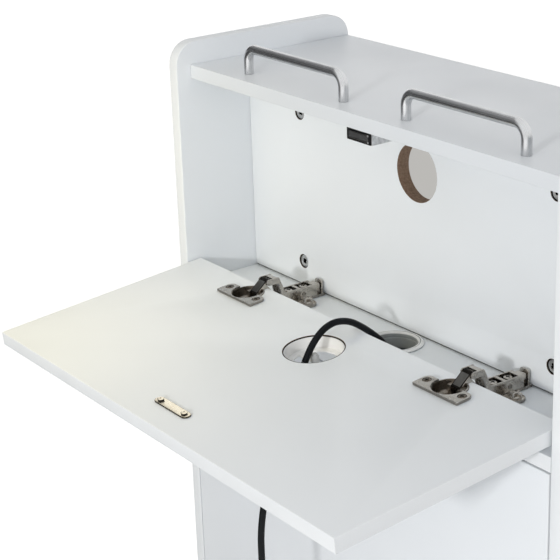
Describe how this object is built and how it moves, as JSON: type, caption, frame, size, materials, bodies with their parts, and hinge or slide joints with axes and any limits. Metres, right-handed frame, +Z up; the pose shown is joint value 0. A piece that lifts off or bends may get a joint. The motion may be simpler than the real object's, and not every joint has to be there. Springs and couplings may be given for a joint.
{
  "type": "drawer trolley",
  "caption": "White board trolley on swivel casters with a drop-front cable compartment on one side, drawers on the other and bar handles on top.",
  "frame": {"origin": "on the ground under the middle of the trolley with its flap open", "axes": "+Z up, +X to the right as seen from the flap side, -Y towards the open flap, drawers open towards +Y"},
  "size_m": [0.6, 0.4982, 0.8721],
  "materials": {
    "white_board": "satin white melamine on board, soft sheen",
    "satin_steel": "satin steel bar and zinc-plated pressings",
    "nickel": "nickel-plated pressed steel, warm grey",
    "dark_nickel": "darker oiled steel links",
    "brass": "brass-plated strike plate",
    "white_plastic": "white moulded plastic",
    "black_plastic": "black moulded plastic and cable sheath",
    "grey_rubber": "dark grey moulded wheel",
    "aluminium": "plain aluminium channel"
  },
  "bodies": {
    "carcass": {"left_side_panel": "white_board", "right_side_panel": "white_board", "top_shelf": "white_board", "compartment_back": "white_board", "compartment_floor": "white_board", "lower_front_panel": "white_board", "bottom_panel": "white_board", "floor_grommet": "white_plastic", "top_handle_left": "satin_steel", "top_handle_right": "satin_steel", "catch_housing": "aluminium", "catch_magnet": "black_plastic", "hinge_plate_left": "nickel", "hinge_plate_right": "nickel", "hinge_arm_left": "nickel", "hinge_arm_right": "nickel", "upper_runner_left": "white_plastic", "upper_runner_right": "white_plastic", "lower_runner_left": "white_plastic", "lower_runner_right": "white_plastic", "caster_plate_front_left": "satin_steel", "caster_plate_front_right": "satin_steel", "caster_plate_rear_left": "satin_steel", "caster_plate_rear_right": "satin_steel", "junction_box": "black_plastic", "lead_boot": "black_plastic", "lead_upper": "black_plastic", "lead_lower": "black_plastic", "lead_coil": "black_plastic", "lead_plug": "black_plastic"},
    "flap": {"flap_panel": "white_board", "flap_liner": "white_plastic", "strike_plate": "brass", "hinge_cup_left": "nickel", "hinge_cup_right": "nickel"},
    "hinge_links": {"hinge_link_left": "dark_nickel", "hinge_link_right": "dark_nickel"},
    "upper_drawer": {"upper_drawer_front": "white_board", "upper_drawer_side_left": "white_board", "upper_drawer_side_right": "white_board", "upper_drawer_back": "white_board", "upper_drawer_bottom": "white_board", "upper_drawer_handle": "satin_steel"},
    "lower_drawer": {"lower_drawer_front": "white_board", "lower_drawer_side_left": "white_board", "lower_drawer_side_right": "white_board", "lower_drawer_back": "white_board", "lower_drawer_bottom": "white_board", "lower_drawer_handle": "satin_steel"},
    "caster_front_left": {"caster_fork_front_left": "satin_steel"},
    "wheel_front_left": {"caster_wheel_front_left": "grey_rubber"},
    "caster_front_right": {"caster_fork_front_right": "satin_steel"},
    "wheel_front_right": {"caster_wheel_front_right": "grey_rubber"},
    "caster_rear_left": {"caster_fork_rear_left": "satin_steel"},
    "wheel_rear_left": {"caster_wheel_rear_left": "grey_rubber"},
    "caster_rear_right": {"caster_fork_rear_right": "satin_steel"},
    "wheel_rear_right": {"caster_wheel_rear_right": "grey_rubber"}
  },
  "joints": [
    {"name": "flap_hinge", "type": "hinge", "parent": "carcass", "child": "flap", "pos_m": [0, -0.01033, 0.6096], "axis": [-1, 0, 0], "range_deg": [0, 95.27], "deforming": ["lead_upper", "lead_lower"]},
    {"name": "link_swing", "type": "hinge", "parent": "carcass", "child": "hinge_links", "pos_m": [0, 0.00152, 0.6276], "axis": [-1, 0, 0], "range_deg": [-34.3, 0]},
    {"name": "upper_drawer_slide", "type": "slide", "parent": "carcass", "child": "upper_drawer", "axis": [0, 1, 0], "range_m": [0, 0.15]},
    {"name": "lower_drawer_slide", "type": "slide", "parent": "carcass", "child": "lower_drawer", "axis": [0, 1, 0], "range_m": [0, 0.15]},
    {"name": "swivel_front_left", "type": "hinge", "parent": "carcass", "child": "caster_front_left", "pos_m": [-0.248, 0.03202, 0], "axis": [0, 0, 1], "continuous": true},
    {"name": "roll_front_left", "type": "hinge", "parent": "caster_front_left", "child": "wheel_front_left", "pos_m": [-0.248, 0.01602, 0.025], "axis": [1, 0, 0], "continuous": true},
    {"name": "swivel_front_right", "type": "hinge", "parent": "carcass", "child": "caster_front_right", "pos_m": [0.248, 0.03202, 0], "axis": [0, 0, 1], "continuous": true},
    {"name": "roll_front_right", "type": "hinge", "parent": "caster_front_right", "child": "wheel_front_right", "pos_m": [0.248, 0.01602, 0.025], "axis": [1, 0, 0], "continuous": true},
    {"name": "swivel_rear_left", "type": "hinge", "parent": "carcass", "child": "caster_rear_left", "pos_m": [-0.248, 0.16902, 0], "axis": [0, 0, 1], "continuous": true},
    {"name": "roll_rear_left", "type": "hinge", "parent": "caster_rear_left", "child": "wheel_rear_left", "pos_m": [-0.248, 0.18502, 0.025], "axis": [1, 0, 0], "continuous": true},
    {"name": "swivel_rear_right", "type": "hinge", "parent": "carcass", "child": "caster_rear_right", "pos_m": [0.248, 0.16902, 0], "axis": [0, 0, 1], "continuous": true},
    {"name": "roll_rear_right", "type": "hinge", "parent": "caster_rear_right", "child": "wheel_rear_right", "pos_m": [0.248, 0.18502, 0.025], "axis": [1, 0, 0], "continuous": true}
  ],
  "couplings": [
    {"joint": "link_swing", "follows": "flap_hinge", "ratio": -0.35849}
  ]
}
